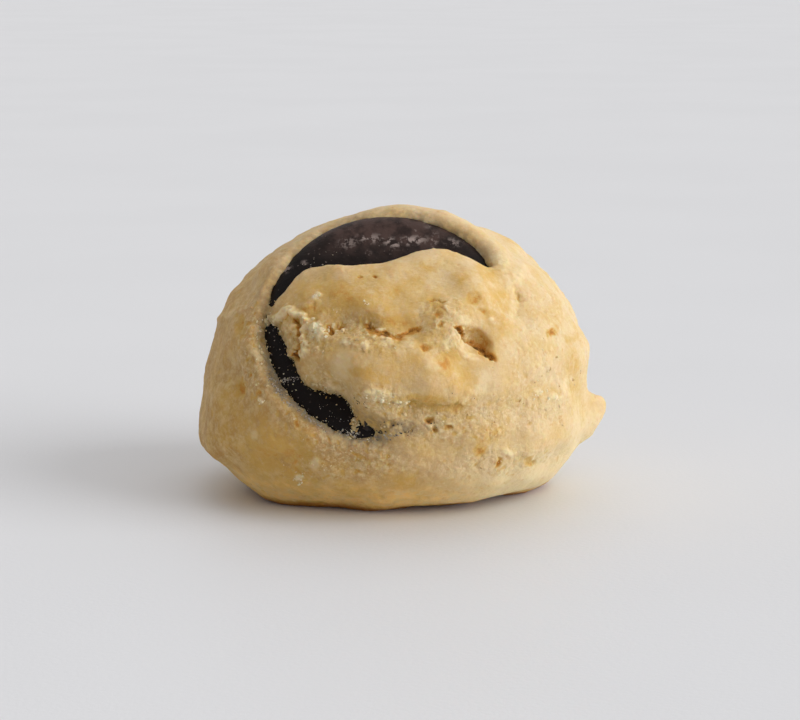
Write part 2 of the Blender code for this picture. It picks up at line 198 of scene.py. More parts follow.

# Spots: picture place, half sizes, turn, rise, and tint: 1 is pale, -1 golden, -2 orange
# brown and -3 dark brown. The dark tints of pits and hollows are painted shade, some
# golden patches are painted shade too, and some pale spots are painted highlights
SPOTS = (
    # Pits and hollows, darkened with painted shade
    ((-7, 3.1), (0.5, 0.45), 0, -0.4, -2.4),
    ((-6.2, 3.5), (0.5, 0.25), 20, -0.2, -2),
    ((-10.4, 0.5), (0.3, 0.6), 0, -0.3, -3),
    ((-3.1, 3.5), (0.3, 0.25), 0, -0.3, -2.2),
    ((-4.1, 8.3), (0.22, 0.2), 0, -0.15, -2.7),
    ((-2.4, 8.2), (0.35, 0.22), 0, -0.18, -2.7),
    ((3.8, 4.5), (0.5, 0.4), 0, -0.15, -1.9),
    ((4, 3.5), (0.35, 0.4), 20, -0.2, -2.2),
    ((7.9, 1.9), (1.6, 0.85), -44, -0.5, -1.7),
    ((8.3, 1), (0.8, 0.35), -38, -0.2, -2.7),
    ((6.4, 2.5), (0.4, 0.3), -40, -0.2, -2.6),
    ((8.3, 4.9), (0.7, 0.35), -20, -0.12, -1.8),
    ((7.4, 6.2), (0.6, 0.7), 0, -0.12, -1.6),
    ((2.6, 1.2), (0.6, 0.5), 0, -0.2, -2),
    ((15.2, 2.9), (0.6, 0.5), 0, -0.1, -2.1),
    ((17, 2.3), (0.8, 0.6), 0, -0.05, -0.7),
    ((8, -9), (0.7, 0.8), 0, -0.08, -1.5),
    ((9.9, -10.3), (0.35, 0.45), 0, -0.18, -2),
    ((13, -10.2), (0.6, 0.4), 0, -0.1, -1.5),
    ((-0.8, -6.4), (0.5, 0.4), 0, -0.3, -1.8),
    ((2.9, -6), (0.5, 0.35), -20, -0.3, -2.6),
    ((3.6, -7), (0.25, 0.45), 0, -0.3, -2.6),
    ((4.8, -6.9), (0.5, 0.3), -20, -0.25, -2.4),
    ((11.9, 6.4), (0.35, 0.5), 0, -0.25, -0.5),
    ((-16, 3.4), (0.6, 1), 0, -0.3, -1.2),
    ((-16, -2.8), (0.6, 1), 0, -0.35, -1.6),
    ((-14.4, -7.2), (0.6, 1.4), 0, -0.15, -1),
    ((-12, -9.6), (1.2, 0.4), -10, -0.15, -1.4),
    # Golden patches, some of them painted shade under folds and in creases
    ((-2.2, 8.2), (1.8, 1), 10, 0, -0.8),
    ((-4.8, 6.6), (2, 1), 0, 0, -0.9),
    ((-8.8, 4.9), (1.5, 0.8), 10, -0.1, -1.5),
    ((-9.6, 6.8), (1.8, 1.2), 30, 0, -0.9),
    ((-5.8, 4.6), (2.2, 0.7), -6, 0, -1.1),
    ((-0.4, 6.8), (0.9, 0.7), 0, 0, -1.3),
    ((2.6, 9.2), (1.2, 0.6), -10, 0, -1.2),
    ((8.8, 8.8), (1.4, 1.2), -20, 0, -1.2),
    ((5.8, 8.4), (1.2, 0.8), -10, 0, -0.9),
    ((9.8, 6.2), (0.7, 1.8), 0, 0, -0.8),
    ((-0.6, 3.9), (2.8, 0.6), -10, 0, -1.5),
    ((0.6, 2.4), (1, 0.4), 0, 0, -1),
    ((-2.8, -1.6), (3, 0.7), -12, 0, -1.4),
    ((6.2, -1.8), (1.4, 1.6), -30, 0, -1),
    ((2.4, -3.9), (3.4, 0.4), 0, 0, -1.4),
    ((-8.6, -11.2), (1, 2), 10, 0, -1),
    ((-5, -12.9), (2.2, 0.8), -6, 0, -0.8),
    ((0.5, -12.2), (2.6, 1), 4, 0, -0.8),
    ((-17.6, 1), (1.2, 2.6), 0, 0, -0.4),
    ((-17, -6), (2, 3), 0, 0, -0.6),
    ((16, -3), (2.2, 0.5), 10, 0, -0.8),
    ((17.4, -0.4), (1, 1.6), 20, 0, -0.7),
    ((-5.4, 6.6), (3.6, 1.6), 0, 0, -1.4),
    ((0, 3.4), (9, 7), 0, 0, -0.75),
    ((-3.6, 4.1), (2.4, 0.9), -15, 0, -1.2),
    # painted shade in a dark crease at the lower left
    ((-10.6, -9.8), (1.8, 2.6), -10, 0, -1.4),
    ((9.6, 5.6), (2.4, 3.6), 0, 0, -0.9),
    ((4.4, -0.4), (1.2, 1.4), 0, 0, -1.5),
    ((-4, -6), (4, 1), -25, 0, -1),
    ((-13.4, -9), (2.4, 3.6), 35, 0, -1.2),
    ((3.8, 5.2), (1.6, 0.6), -10, 0, -1.3),
    ((5.2, 0.4), (1.2, 0.8), 0, 0, -1.2),
    # Raised and pale, some of them painted highlights where the dough catches the light
    ((-12.9, 4.1), (0.45, 0.7), -20, 0.35, 0.9),
    ((-8.2, 2.9), (0.75, 0.9), 0, 0.3, 1.4),
    ((-9, 3.2), (0.5, 0.5), 0, 0.15, 0.8),
    ((-11, 0.4), (0.5, 0.35), -40, 0.2, 0.8),
    ((-8.4, 6.4), (0.4, 0.45), 0, 0.1, 1),
    ((-5.4, 2), (0.7, 0.6), 0, 0.12, 0.8),
    ((-3.6, 1.6), (0.6, 0.5), 20, 0.12, 0.7),
    ((-1.4, 1.9), (0.8, 0.5), 10, 0.12, 0.8),
    ((0.8, 1.6), (0.9, 0.5), 10, 0.1, 0.7),
    ((11.7, 8.3), (0.7, 1.1), 20, 0.15, 0.8),
    # painted highlight over the shaded hollow at the right end of the lip
    ((10.1, 9.9), (1.5, 1), -45, 0.12, 0.7),
    ((9.2, 4), (0.4, 0.3), 0, 0.12, 1.2),
    ((6.4, 4), (1, 0.7), 0, 0.08, 0.8),
    ((4.8, 1.8), (0.7, 1), -20, 0.1, 0.8),
    ((10.8, -9.2), (0.9, 0.5), -20, 0.2, 0.9),
    ((-10.2, -11.8), (0.5, 0.4), 0, 0.12, 1.2),
    ((-8.6, -10.4), (0.6, 0.8), 0, 0.06, 0.7),
    ((-13.9, -4.1), (0.35, 0.4), 0, 0.15, 1),
    ((-14.6, -7.4), (0.5, 0.7), 0, 0.08, 0.6),
    ((-13.8, 3), (0.5, 0.9), 0, 0.15, 0.7),
    ((-14.2, 0.4), (0.5, 0.9), 20, 0.15, 0.7),
    ((-17, 4.6), (1.6, 0.5), 20, 0.15, 0.4),
    ((13.8, -3.2), (0.5, 0.4), 0, 0.1, 0.9),
    ((15.6, -3.6), (0.5, 0.4), 0, 0.12, 1.1),
    ((16.6, -2.6), (0.6, 1.2), 0, 0.08, 0.8),
    ((-2.4, -3.4), (1.4, 0.7), -15, 0.2, 0.8),
    ((-0.4, -4.4), (1.2, 0.6), -10, 0.2, 0.7),
    ((-5.6, -1.4), (1.2, 0.5), -20, 0.08, 0.6),
    # painted highlight on the lit left part of the lower fold
    ((-5.8, -0.4), (1.2, 2.2), -20, 0, 0.6),
    ((-6.6, -2.6), (1, 0.5), -35, 0.1, 0.6),
    ((3.4, -0.6), (1.4, 0.8), -30, 0, 0.6),
    ((8.4, -2.4), (0.8, 2), -30, 0, 0.7),
)
# How far the outlines of all these wander, coarsely and finely
EDGE_WANDER, EDGE_WANDER_SIZE = 0.3, 1.3
EDGE_FRAY, EDGE_FRAY_SIZE = 0.2, 0.45
# From and to where they fade out, where 1 is their outline
TORN_EDGE, SMOOTH_EDGE = (0.6, 1.2), (0.6, 1.1)
CREASE_EDGE, CREASE_SHADE_EDGE = (0.0, 1.0), (0.4, 1.4)
LEAN_REACH = 2.5  # how far the dough leans over a crease, in reaches of the crease
RIDGE_EDGE, PUSH_EDGE, STAIN_EDGE = (0.3, 1.4), (0.0, 1.5), (0.2, 1.3)
RISE_EDGE = (0.3, 1.3)  # the heights and pale tints of spots, some of them painted highlights
AREA_EDGE, SPOT_EDGE = (0.0, 1.9), (0.4, 1.5)  # the warm tints, partly painted shade, of flat spots and of others

# Chocolate smeared into the dough: picture place, half sizes, turn and strength
STAINS = (
    ((-12.2, -2.6), (1, 2.4), 35, 0.75),
    ((-9.3, -5.4), (2.6, 0.9), -45, 0.5),
    ((-0.6, -6.6), (3.4, 1), -6, 0.7),
    ((-3, -6), (1.2, 0.8), -40, 0.6),
    ((3.4, -6.6), (2.4, 0.9), 0, 0.3),
    ((-7, -3.2), (1.2, 0.6), -40, 0.5),
    ((-3.8, -5.4), (1.6, 0.7), -25, 0.5),
)
RIM_STAIN, RIM_STAIN_REACH = 0.45, (0.4, 1.9)  # next to the chocolate, by distance
# Painted sheen on the chocolate's upper face: picture place of its middle and half sizes
SHEEN = ((-0.5, 15.0), (13.0, 4.6))
# Bloom on the chocolate: picture place, half sizes, turn and strength
BLOOM = (
    ((-3, 12), (1.5, 0.5), 0, 0.7),
    ((-5.2, 11.6), (1, 0.7), 10, 0.5),
    ((-0.8, 11.6), (1.2, 0.5), -20, 0.9),
    ((1.2, 11.8), (1.6, 0.5), 5, 0.9),
    ((3.4, 12), (0.4, 0.7), 0, 0.7),
    ((5.2, 11.6), (0.9, 0.4), -15, 0.6),
    ((2.8, 13.4), (0.4, 0.4), 0, 0.5),
    ((-8.8, 10.5), (0.25, 0.25), 0, 0.8),
    ((-3.2, 10.5), (0.25, 0.25), 0, 0.8),
    ((-9.5, 9.6), (0.3, 0.25), 0, 0.6),
    ((-11.2, 8.9), (0.5, 0.3), 40, 0.8),
    ((-11.7, 8.6), (0.4, 0.3), 40, 0.6),
)
BLOOM_EDGE, SHEEN_EDGE = (0.2, 1.4), (0.4, 1.4)
# The bloom's height, and the size and seed of its wrinkles
BLOOM_HEIGHT, BLOOM_WRINKLES, BLOOM_SEED = 0.12, 0.5, 35.0
CHOCOLATE_WAVES = ((2.6, 0.06, 31.0), (0.9, 0.03, 33.0))  # size, height and seed

# Loose crumbs. In areas: picture place of the middle, half sizes, turn, number, and the
# smallest and largest radius. Their numbers beside the chocolate and out of sight follow.
DOUGH_CRUMBS = (
    ((-9, 2.6), (2.6, 2.2), 0, 30, 0.1, 0.3),
    ((-4, 2), (4, 1), -12, 30, 0.1, 0.28),
    ((4.6, 3), (1.8, 2.4), 20, 12, 0.08, 0.2),
    ((15, -1), (4, 6), 10, 20, 0.1, 0.24),
    ((7, -5.8), (9, 1.6), 7, 40, 0.08, 0.22),
    ((-14.2, 0.8), (1.4, 4.6), 5, 24, 0.1, 0.28),
    ((-6, -8.6), (7, 2.2), -28, 40, 0.06, 0.18),
    ((-1, -4.2), (4, 1.1), -12, 30, 0.1, 0.28),
    ((-5, -11), (7, 2), 0, 20, 0.06, 0.14),
    ((9.5, -10.2), (5, 1.4), 8, 20, 0.06, 0.18),
    ((-7.6, -3), (2.6, 0.6), -38, 34, 0.08, 0.24),
    ((-4.5, -6.5), (0.35, 1), -10, 80, 0.12, 0.28),  # bridge over the chocolate's end
)
PALE_CRUMBS = (
    ((-8.4, 6.4), (0.5, 0.5), 0, 7, 0.12, 0.26),
    ((-8, 3), (1, 0.9), 0, 16, 0.12, 0.32),
    ((-12.8, 4.2), (0.6, 0.7), 0, 10, 0.08, 0.2),
    ((-3.5, 5.7), (0.5, 0.3), 0, 4, 0.08, 0.18),
    ((-6.6, 4.8), (0.3, 0.3), 0, 3, 0.08, 0.16),
    ((-10.2, -11.8), (0.6, 0.8), 0, 14, 0.1, 0.22),
    ((-8.6, -10.6), (1.4, 1.2), 0, 12, 0.06, 0.14),
    ((-13.9, -4.1), (0.4, 0.5), 0, 7, 0.1, 0.22),
    ((-14, 0.8), (0.8, 3.4), 0, 16, 0.08, 0.22),
    ((14.6, -3.6), (1.6, 0.6), 0, 10, 0.1, 0.22),
    ((-1.6, -4), (3, 0.8), -15, 12, 0.1, 0.24),
    ((-11.5, -2.2), (1.6, 1.2), -40, 16, 0.06, 0.14),
    ((-5, -7.4), (3.4, 0.5), -24, 16, 0.06, 0.14),
)
DUSTY_CRUMBS = (
    ((-11.2, -2), (1.4, 0.3), 10, 90, 0.04, 0.12),
    ((-12.2, -3), (0.35, 2.4), 35, 120, 0.04, 0.13),
    ((-9.2, -5.8), (2.8, 0.25), -38, 90, 0.04, 0.13),
    ((-5, -7.3), (1.2, 0.4), -10, 40, 0.07, 0.16),
    ((-1.2, -7.6), (1.8, 0.4), 6, 50, 0.06, 0.16),
    ((-6.5, -5.5), (2, 1), -35, 16, 0.04, 0.09),
    ((-12.6, 1), (0.8, 3), 0, 16, 0.04, 0.09),
    ((-8.5, 9.8), (3, 0.8), 35, 16, 0.04, 0.09),
)
CHOCOLATE_CRUMBS = (
    ((-3.3, -6.6), (0.3, 0.5), 0, 5, 0.4, 0.6),
    ((-1.9, -7.2), (0.5, 0.4), 0, 8, 0.12, 0.28),
    ((-0.8, -6.5), (1.4, 0.5), 0, 10, 0.07, 0.18),
    ((0.2, -7.3), (1.2, 0.4), 8, 12, 0.08, 0.2),
    ((3.4, -6.7), (1.6, 0.6), 0, 8, 0.07, 0.16),
    ((-4, -4.2), (1, 0.5), -30, 10, 0.06, 0.14),
    ((5, -3.2), (8, 4), 0, 6, 0.04, 0.08),
)
EDGE_CRUMBS, EDGE_REACH, EDGE_CRUMB_SIZES = 300, 0.25, (0.04, 0.16)
EDGE_U, EDGE_V = (-14.0, -1.0), (-8.5, 6.0)  # the part of the picture where they are tried
UNSEEN_CRUMBS, UNSEEN_CRUMB_SIZES = 260, (0.1, 0.3)
# They lie where the dough is this torn, this far from the chocolate and above this height
UNSEEN_TORN, UNSEEN_CLEAR, UNSEEN_HEIGHT = 0.5, 1.7, 1.0
MIDDLE_BIAS, SMALL_BIAS = 0.7, 2  # powers that draw crumbs to the middle and make them small
CRUMB_SEED, CRUMB_SHAPES, CRUMB_CORNERS = 7, 14, 10
CRUMB_REACH, CRUMB_ROUNDING = (0.75, 1.1), 0.2  # how far out the corners lie; worn edges
CRUMB_UNEVEN, CRUMB_UNEVEN_RATE = 0.25, 2.0
CRUMB_STRETCH = (0.6, 1.4)
CRUMB_SINK = 0.45  # share of its radius by which a crumb's middle lies under the surface

# Colours are linear
# The dough's colour on its shaded left, where it is painted darker
DOUGH = (0.475, 0.27, 0.078)
# Painted light: the paler colour of the lit right side and top
DOUGH_LIT_SIDE = (0.71, 0.53, 0.3)
# Painted light: the floor's bounce on the dough just above the floor
DOUGH_FLOOR_BOUNCE = (0.97, 0.62, 0.2)
# Random golden mottling, and through the gold tint also painted shade
DOUGH_GOLD = (0.61, 0.37, 0.085)
# Random warm specks, painted shade in creases, pores and hollows, and a painted glow above the floor
DOUGH_WARM = (0.54, 0.22, 0.022)
# Painted shade deep in pits and creases
DOUGH_DEEP_SHADE = (0.2, 0.085, 0.010)
# Random pale blotches and flecks, painted highlights on tops and lit spots, and painted light on the
# lower right
DOUGH_PALE = (0.79, 0.65, 0.39)
# Painted contact shade next to the floor
DOUGH_CONTACT_SHADE = (0.42, 0.15, 0.012)
DOUGH_DUST = (0.38, 0.32, 0.235)
DOUGH_STAIN = (0.2, 0.15, 0.09)
WHITE_CRUMB = (0.82, 0.71, 0.49)
DUST = (0.6, 0.52, 0.44)
DUST_DARK = (0.15, 0.11, 0.08)
CHOCOLATE = (0.006, 0.0035, 0.003)
# Painted sheen on the disc's upper face, and the paler tone of chocolate crumbs
CHOCOLATE_PALE_AND_SHEEN = (0.064, 0.038, 0.032)
CHOCOLATE_BLOOM = (0.34, 0.27, 0.245)
FLOOR = (0.74, 0.745, 0.765)
FLOOR_DIM = 0.98  # the floor's darker clouds, as a share of its colour
# Pieces of crumbs: name, areas, material, its two colours, and slot
CRUMBS = (
    ("dough_crumbs", DOUGH_CRUMBS, "crumb", DOUGH, DOUGH_PALE, "dough"),
    ("pale_crumbs", PALE_CRUMBS, "pale_crumb", DOUGH_PALE, WHITE_CRUMB, "dough"),
    ("dusty_crumbs", DUSTY_CRUMBS, "dusty_crumb", DUST_DARK, DUST, "dough"),
    (
        "chocolate_crumbs",
        CHOCOLATE_CRUMBS,
        "chocolate_crumb",
        CHOCOLATE,
        CHOCOLATE_PALE_AND_SHEEN,
        "chocolate",
    ),
)


class Pattern(NamedTuple):
    """Noise in a material: size in millimetres, and from and to where in the noise it goes
    from its least to its most."""

    size: float
    low: float
    high: float
    detail: float = 3.0
    roughness: float = 0.5
    least: float = 0.0
    most: float = 1.0


class Bump(NamedTuple):
    """Bumps in a material: size and depth in millimetres."""

    size: float
    depth: float
    detail: float = 3.0
    roughness: float = 0.5


# Patterns in the dough's colour
MOTTLE = Pattern(2.6, 0.4, 0.66, 5.0, 0.6, most=0.65)
BLOTCHES = Pattern(1.3, 0.42, 0.7, 6.0, 0.7, most=0.42)
SPECKLES = Pattern(0.7, 0.62, 0.76, most=0.4)
FLECKS = Pattern(0.4, 0.46, 0.64, 5.0, 0.7)
DARK_FLECKS = Pattern(0.5, 0.55, 0.7, 5.0, 0.75)
WARM_BREAKS = Pattern(1.2, 0.34, 0.62, 7.0, 0.75, least=0.3, most=1.2)
DUST_GRAIN = Pattern(0.35, 0.4, 0.55, 4.0, least=0.25)
SMEAR_GRAIN = Pattern(0.5, 0.35, 0.6, least=0.4)
# Shares where the dough is smooth and where it is torn
FLECK_SHARES, DARK_FLECK_SHARES, BUMP_SHARES = (0.25, 0.7), (0.28, 0.6), (0.4, 1.0)
# Shares of the painted floor bounce light and of the painted light on the lower right
FLOOR_BOUNCE_SHARE, LOWER_RIGHT_LIGHT_SHARE = 0.85, 0.9
# Tints: from and to where each comes in, and its share of the colour at either end. The gold
# and warm tints are partly painted shade, the deep one painted shade, and the pale one partly
# painted highlights
GOLD_AND_SHADE_TINT, WARM_AND_SHADE_TINT = (0.0, 1.0, 0.0, 0.8), (1.0, 2.0, 0.0, 0.9)
DEEP_SHADE_TINT, PALE_AND_HIGHLIGHT_TINT = (2.0, 3.0, 0.0, 1.0), (0.0, 1.2, 0.0, 0.9)
# Patterns in the chocolate's colour, its painted sheen among them, and in the floor's
SHEEN_CLOUDS = Pattern(1.3, 0.35, 0.65, 4.0, least=0.35, most=1.3)
BLOOM_STREAKS = Pattern(0.7, 0.47, 0.57, 4.0, 0.65)
BLOOM_SPECKS = Pattern(0.3, 0.66, 0.76, most=0.4)
FLOOR_CLOUDS = Pattern(60.0, 0.3, 0.7, 2.0)
# Bumps
DOUGH_GRAIN, DOUGH_BUMPS = Bump(0.15, 0.07, 4.0, 0.65), Bump(0.5, 0.24, 5.0, 0.65)
CHOCOLATE_BUMPS = Bump(0.3, 0.06, 4.0, 0.6)
CRUMB_BUMPS, FLOOR_BUMPS = Bump(0.12, 0.04), Bump(0.5, 0.02)
# Surfaces
DOUGH_SURFACE = dict(
    Roughness=0.62,
    Subsurface_Weight=0.6,
    Subsurface_Radius=(1.0, 0.5, 0.2),
    Subsurface_Scale=1.1 * MM,
    Specular_IOR_Level=0.3,
)
CHOCOLATE_SURFACE = dict(Roughness=0.45, Specular_IOR_Level=0.14)
CRUMB_SURFACE = dict(
    Roughness=0.7,
    Subsurface_Weight=0.3,
    Subsurface_Radius=(1.0, 0.5, 0.25),
    Subsurface_Scale=0.5 * MM,
)
FLOOR_SURFACE = dict(Roughness=0.55, Specular_IOR_Level=0.5)
FLOOR_HALF = 3.0  # half size of the floor in metres

# Lights: name, azimuth from the front to the right, elevation, spread, strength and colour
LIGHTS = (
    ("key", 70.0, 24.0, 45.0, 1.95, (0.96, 0.98, 1.0)),
    ("fill", 50.0, 3.0, 60.0, 0.75, (1.0, 0.99, 0.97)),
    ("top", 175.0, 70.0, 60.0, 0.42, (1.0, 0.99, 0.98)),
)
# Light from all round: the way to where it is brightest, how far along that it changes, and
# its strength at either end
WORLD_WAY, WORLD_SPAN = (0.45, 0.45, 0.5), (-0.5, 0.5)
WORLD_STRENGTH, WORLD_COLOUR = (0.31, 0.62), (1.0, 0.985, 0.98, 1.0)


def fade(low, high, values):
    """0 where values are below low, 1 above high, and smooth between them."""
    t = np.clip((values - low) / (high - low), 0.0, 1.0)
    return t * t * (3.0 - 2.0 * t)


def picture_places(points):
    """Where points lie in the picture."""
    offsets = points - np.array(EYE)
    scale = -DISTANCE / (offsets @ np.array(TO_CAMERA))
    return np.stack((offsets @ np.array(RIGHT), offsets @ np.array(UP)), axis=1) * scale[:, None]


def ellipse_distance(places, middle, half, turn):
    """Distance of places from an ellipse's middle, where 1 is its outline."""
    c, s = math.cos(math.radians(turn)), math.sin(math.radians(turn))
    dx, dy = (places - np.array(middle)).T
    return np.hypot((c * dx + s * dy) / half[0], (c * dy - s * dx) / half[1])


def in_ellipse(places, middle, half, turn, edge):
    """1 in an ellipse in the picture, fading to 0 across its edge."""
    return 1.0 - fade(*edge, ellipse_distance(places, middle, half, turn))


def beside_chain(places, chain):
    """Distance of places from a chain, below 0 on its right, and the way to its left there."""
    nearest = np.full(len(places), np.inf)
    side = np.ones(len(places))
    left = np.zeros((len(places), 2))
    for start, end in zip(chain, chain[1:]):
        along = np.array(end) - np.array(start)
        offsets = places - np.array(start)
        t = np.clip(offsets @ along / (along @ along), 0.0, 1.0)
        distance = np.hypot(*(offsets - t[:, None] * along).T)
        closer = distance < nearest
        nearest[closer] = distance[closer]
        across = np.array((-along[1], along[0])) / math.hypot(*along)
        side[closer] = np.where(offsets @ across >= 0.0, 1.0, -1.0)[closer]
        left[closer] = across
    return nearest * side, left


def noise_field(points, size, seed):
    """Smooth noise from -1 to 1 in lumps of a size."""
    shift = Vector((seed, 2.0 * seed, 3.0 * seed))
    return np.array([noise.noise(Vector(p) / size + shift) for p in points])


def crumble_field(points, size, seed):
    """Broken lumps of a size, some higher than others, with creases between them, from 0 up."""
    shift = Vector((seed, 2.0 * seed, 3.0 * seed))
    heights = np.empty(len(points))
    for i, point in enumerate(points):
        place = Vector(point) / size + shift
        place += CRUMBLE_WARP * noise.noise_vector(place * CRUMBLE_WARP_RATE)
        distances, centres = noise.voronoi(place)
        lift = CRUMBLE_LIFT + CRUMBLE_VARIES * noise.noise(centres[0] * CRUMBLE_VARIES_RATE)
        from_crease = min(1.0, (distances[1] - distances[0]) / CRUMBLE_CREASE)
        heights[i] = lift * from_crease**CRUMBLE_ROUND
    return heights


def blurred(obj, values, rounds):
    """Values of the vertices, evened out along the edges."""
    ends = np.empty(len(obj.data.edges) * 2, dtype=np.int64)
    obj.data.edges.foreach_get("vertices", ends)
    first, second = ends.reshape(-1, 2).T
    count = len(values)
    neighbours = np.bincount(first, minlength=count) + np.bincount(second, minlength=count)
    for _ in range(rounds):
        total = np.bincount(first, values[second], count)
        total = total + np.bincount(second, values[first], count)
        values = (values + total / neighbours) / 2.0
    return values


def vertices(obj):
    """The object's vertices and their normals, in millimetres."""
    count = len(obj.data.vertices)
    points, normals = np.empty(count * 3), np.empty(count * 3)
    obj.data.vertices.foreach_get("co", points)
    obj.data.vertices.foreach_get("normal", normals)
    return points.reshape(-1, 3) / MM, normals.reshape(-1, 3)


def move_vertices(obj, points):
    obj.data.vertices.foreach_set("co", (points * MM).ravel())
    obj.data.update()


def set_attribute(obj, name, values):
    attribute = obj.data.attributes.new(name, "FLOAT", "POINT")
    attribute.data.foreach_set("value", values)


def new_object(name, mesh):
    obj = bpy.data.objects.new(name, mesh)
    bpy.context.scene.collection.objects.link(obj)
    return obj


def apply_modifiers(obj):
    graph = bpy.context.evaluated_depsgraph_get()
    mesh = bpy.data.meshes.new_from_object(obj.evaluated_get(graph))
    obj.modifiers.clear()
    obj.data = mesh


def smooth(obj, rounds):
    modifier = obj.modifiers.new("smooth", "SMOOTH")
    modifier.iterations = rounds


def even_skin(name, node, voxel, rounds):
    """A new object with a node's surface in small, even faces, without its facets."""
    bm = bmesh.new()
    bm.from_mesh(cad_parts[node].data)
    bmesh.ops.remove_doubles(bm, verts=bm.verts, dist=MERGE_DISTANCE)
    mesh = bpy.data.meshes.new(name)
    bm.to_mesh(mesh)
    bm.free()
    obj = new_object(name, mesh)
    remesh = obj.modifiers.new("even", "REMESH")
    remesh.mode = "VOXEL"
    remesh.voxel_size = voxel * MM
    smooth(obj, rounds)
    apply_modifiers(obj)
    return obj


def surface_tree(obj):
    corners = [v.co / MM for v in obj.data.vertices]
    return BVHTree.FromPolygons(corners, [p.vertices for p in obj.data.polygons])


def chocolate_tree():
    return surface_tree(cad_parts["chocolate_disc"])


def nearest_chocolate(points):
    """The nearest places on the chocolate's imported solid, and their distances."""
    tree = chocolate_tree()
    found = [tree.find_nearest(Vector(p)) for p in points]
    return np.array([f[0] for f in found]), np.array([f[3] for f in found])


def in_pocket(obj):
    """1 for vertices that face the chocolate from near by, fading to 0 beside them."""
    points, normals = vertices(obj)
    tree = chocolate_tree()
    hits = [tree.ray_cast(Vector(p), Vector(n), POCKET_REACH) for p, n in zip(points, normals)]
    hidden = np.array([hit[0] is not None for hit in hits], dtype=float)
    return blurred(obj, hidden, POCKET_ROUNDS)


def halve(obj, wanted):
    """Halves the faces that a test picks."""
    bm = bmesh.new()
    bm.from_mesh(obj.data)
    bm.normal_update()
    picked = [face for face in bm.faces if wanted(face)]
    edges = list(dict.fromkeys(edge for face in picked for edge in face.edges))
    bmesh.ops.subdivide_edges(bm, edges=edges, cuts=1, use_grid_fill=True)
    bm.to_mesh(obj.data)
    bm.free()
    smooth(obj, FINER_ROUNDS)
    apply_modifiers(obj)


def refine(obj):
    """Gives the front a finer mesh than the rest, and the tongue of dough the finest."""

    def in_front(face):
        return face.normal.dot(TO_CAMERA) > FRONT_FACING

    def in_finest(face):
        place = picture_places(np.array([face.calc_center_median() / MM]))[0]
        (u, v), (half_u, half_v) = FINEST
        return in_front(face) and abs(place[0] - u) < half_u and abs(place[1] - v) < half_v

    halve(obj, in_front)
    halve(obj, in_finest)


def thin_out(obj, triangles):
    """Merges faces where the surface is plain, until this many triangles are left."""
    fewer = obj.modifiers.new("fewer faces", "DECIMATE")
    fewer.ratio = triangles / sum(len(face.vertices) - 2 for face in obj.data.polygons)
    fewer.use_collapse_triangulate = True
    apply_modifiers(obj)


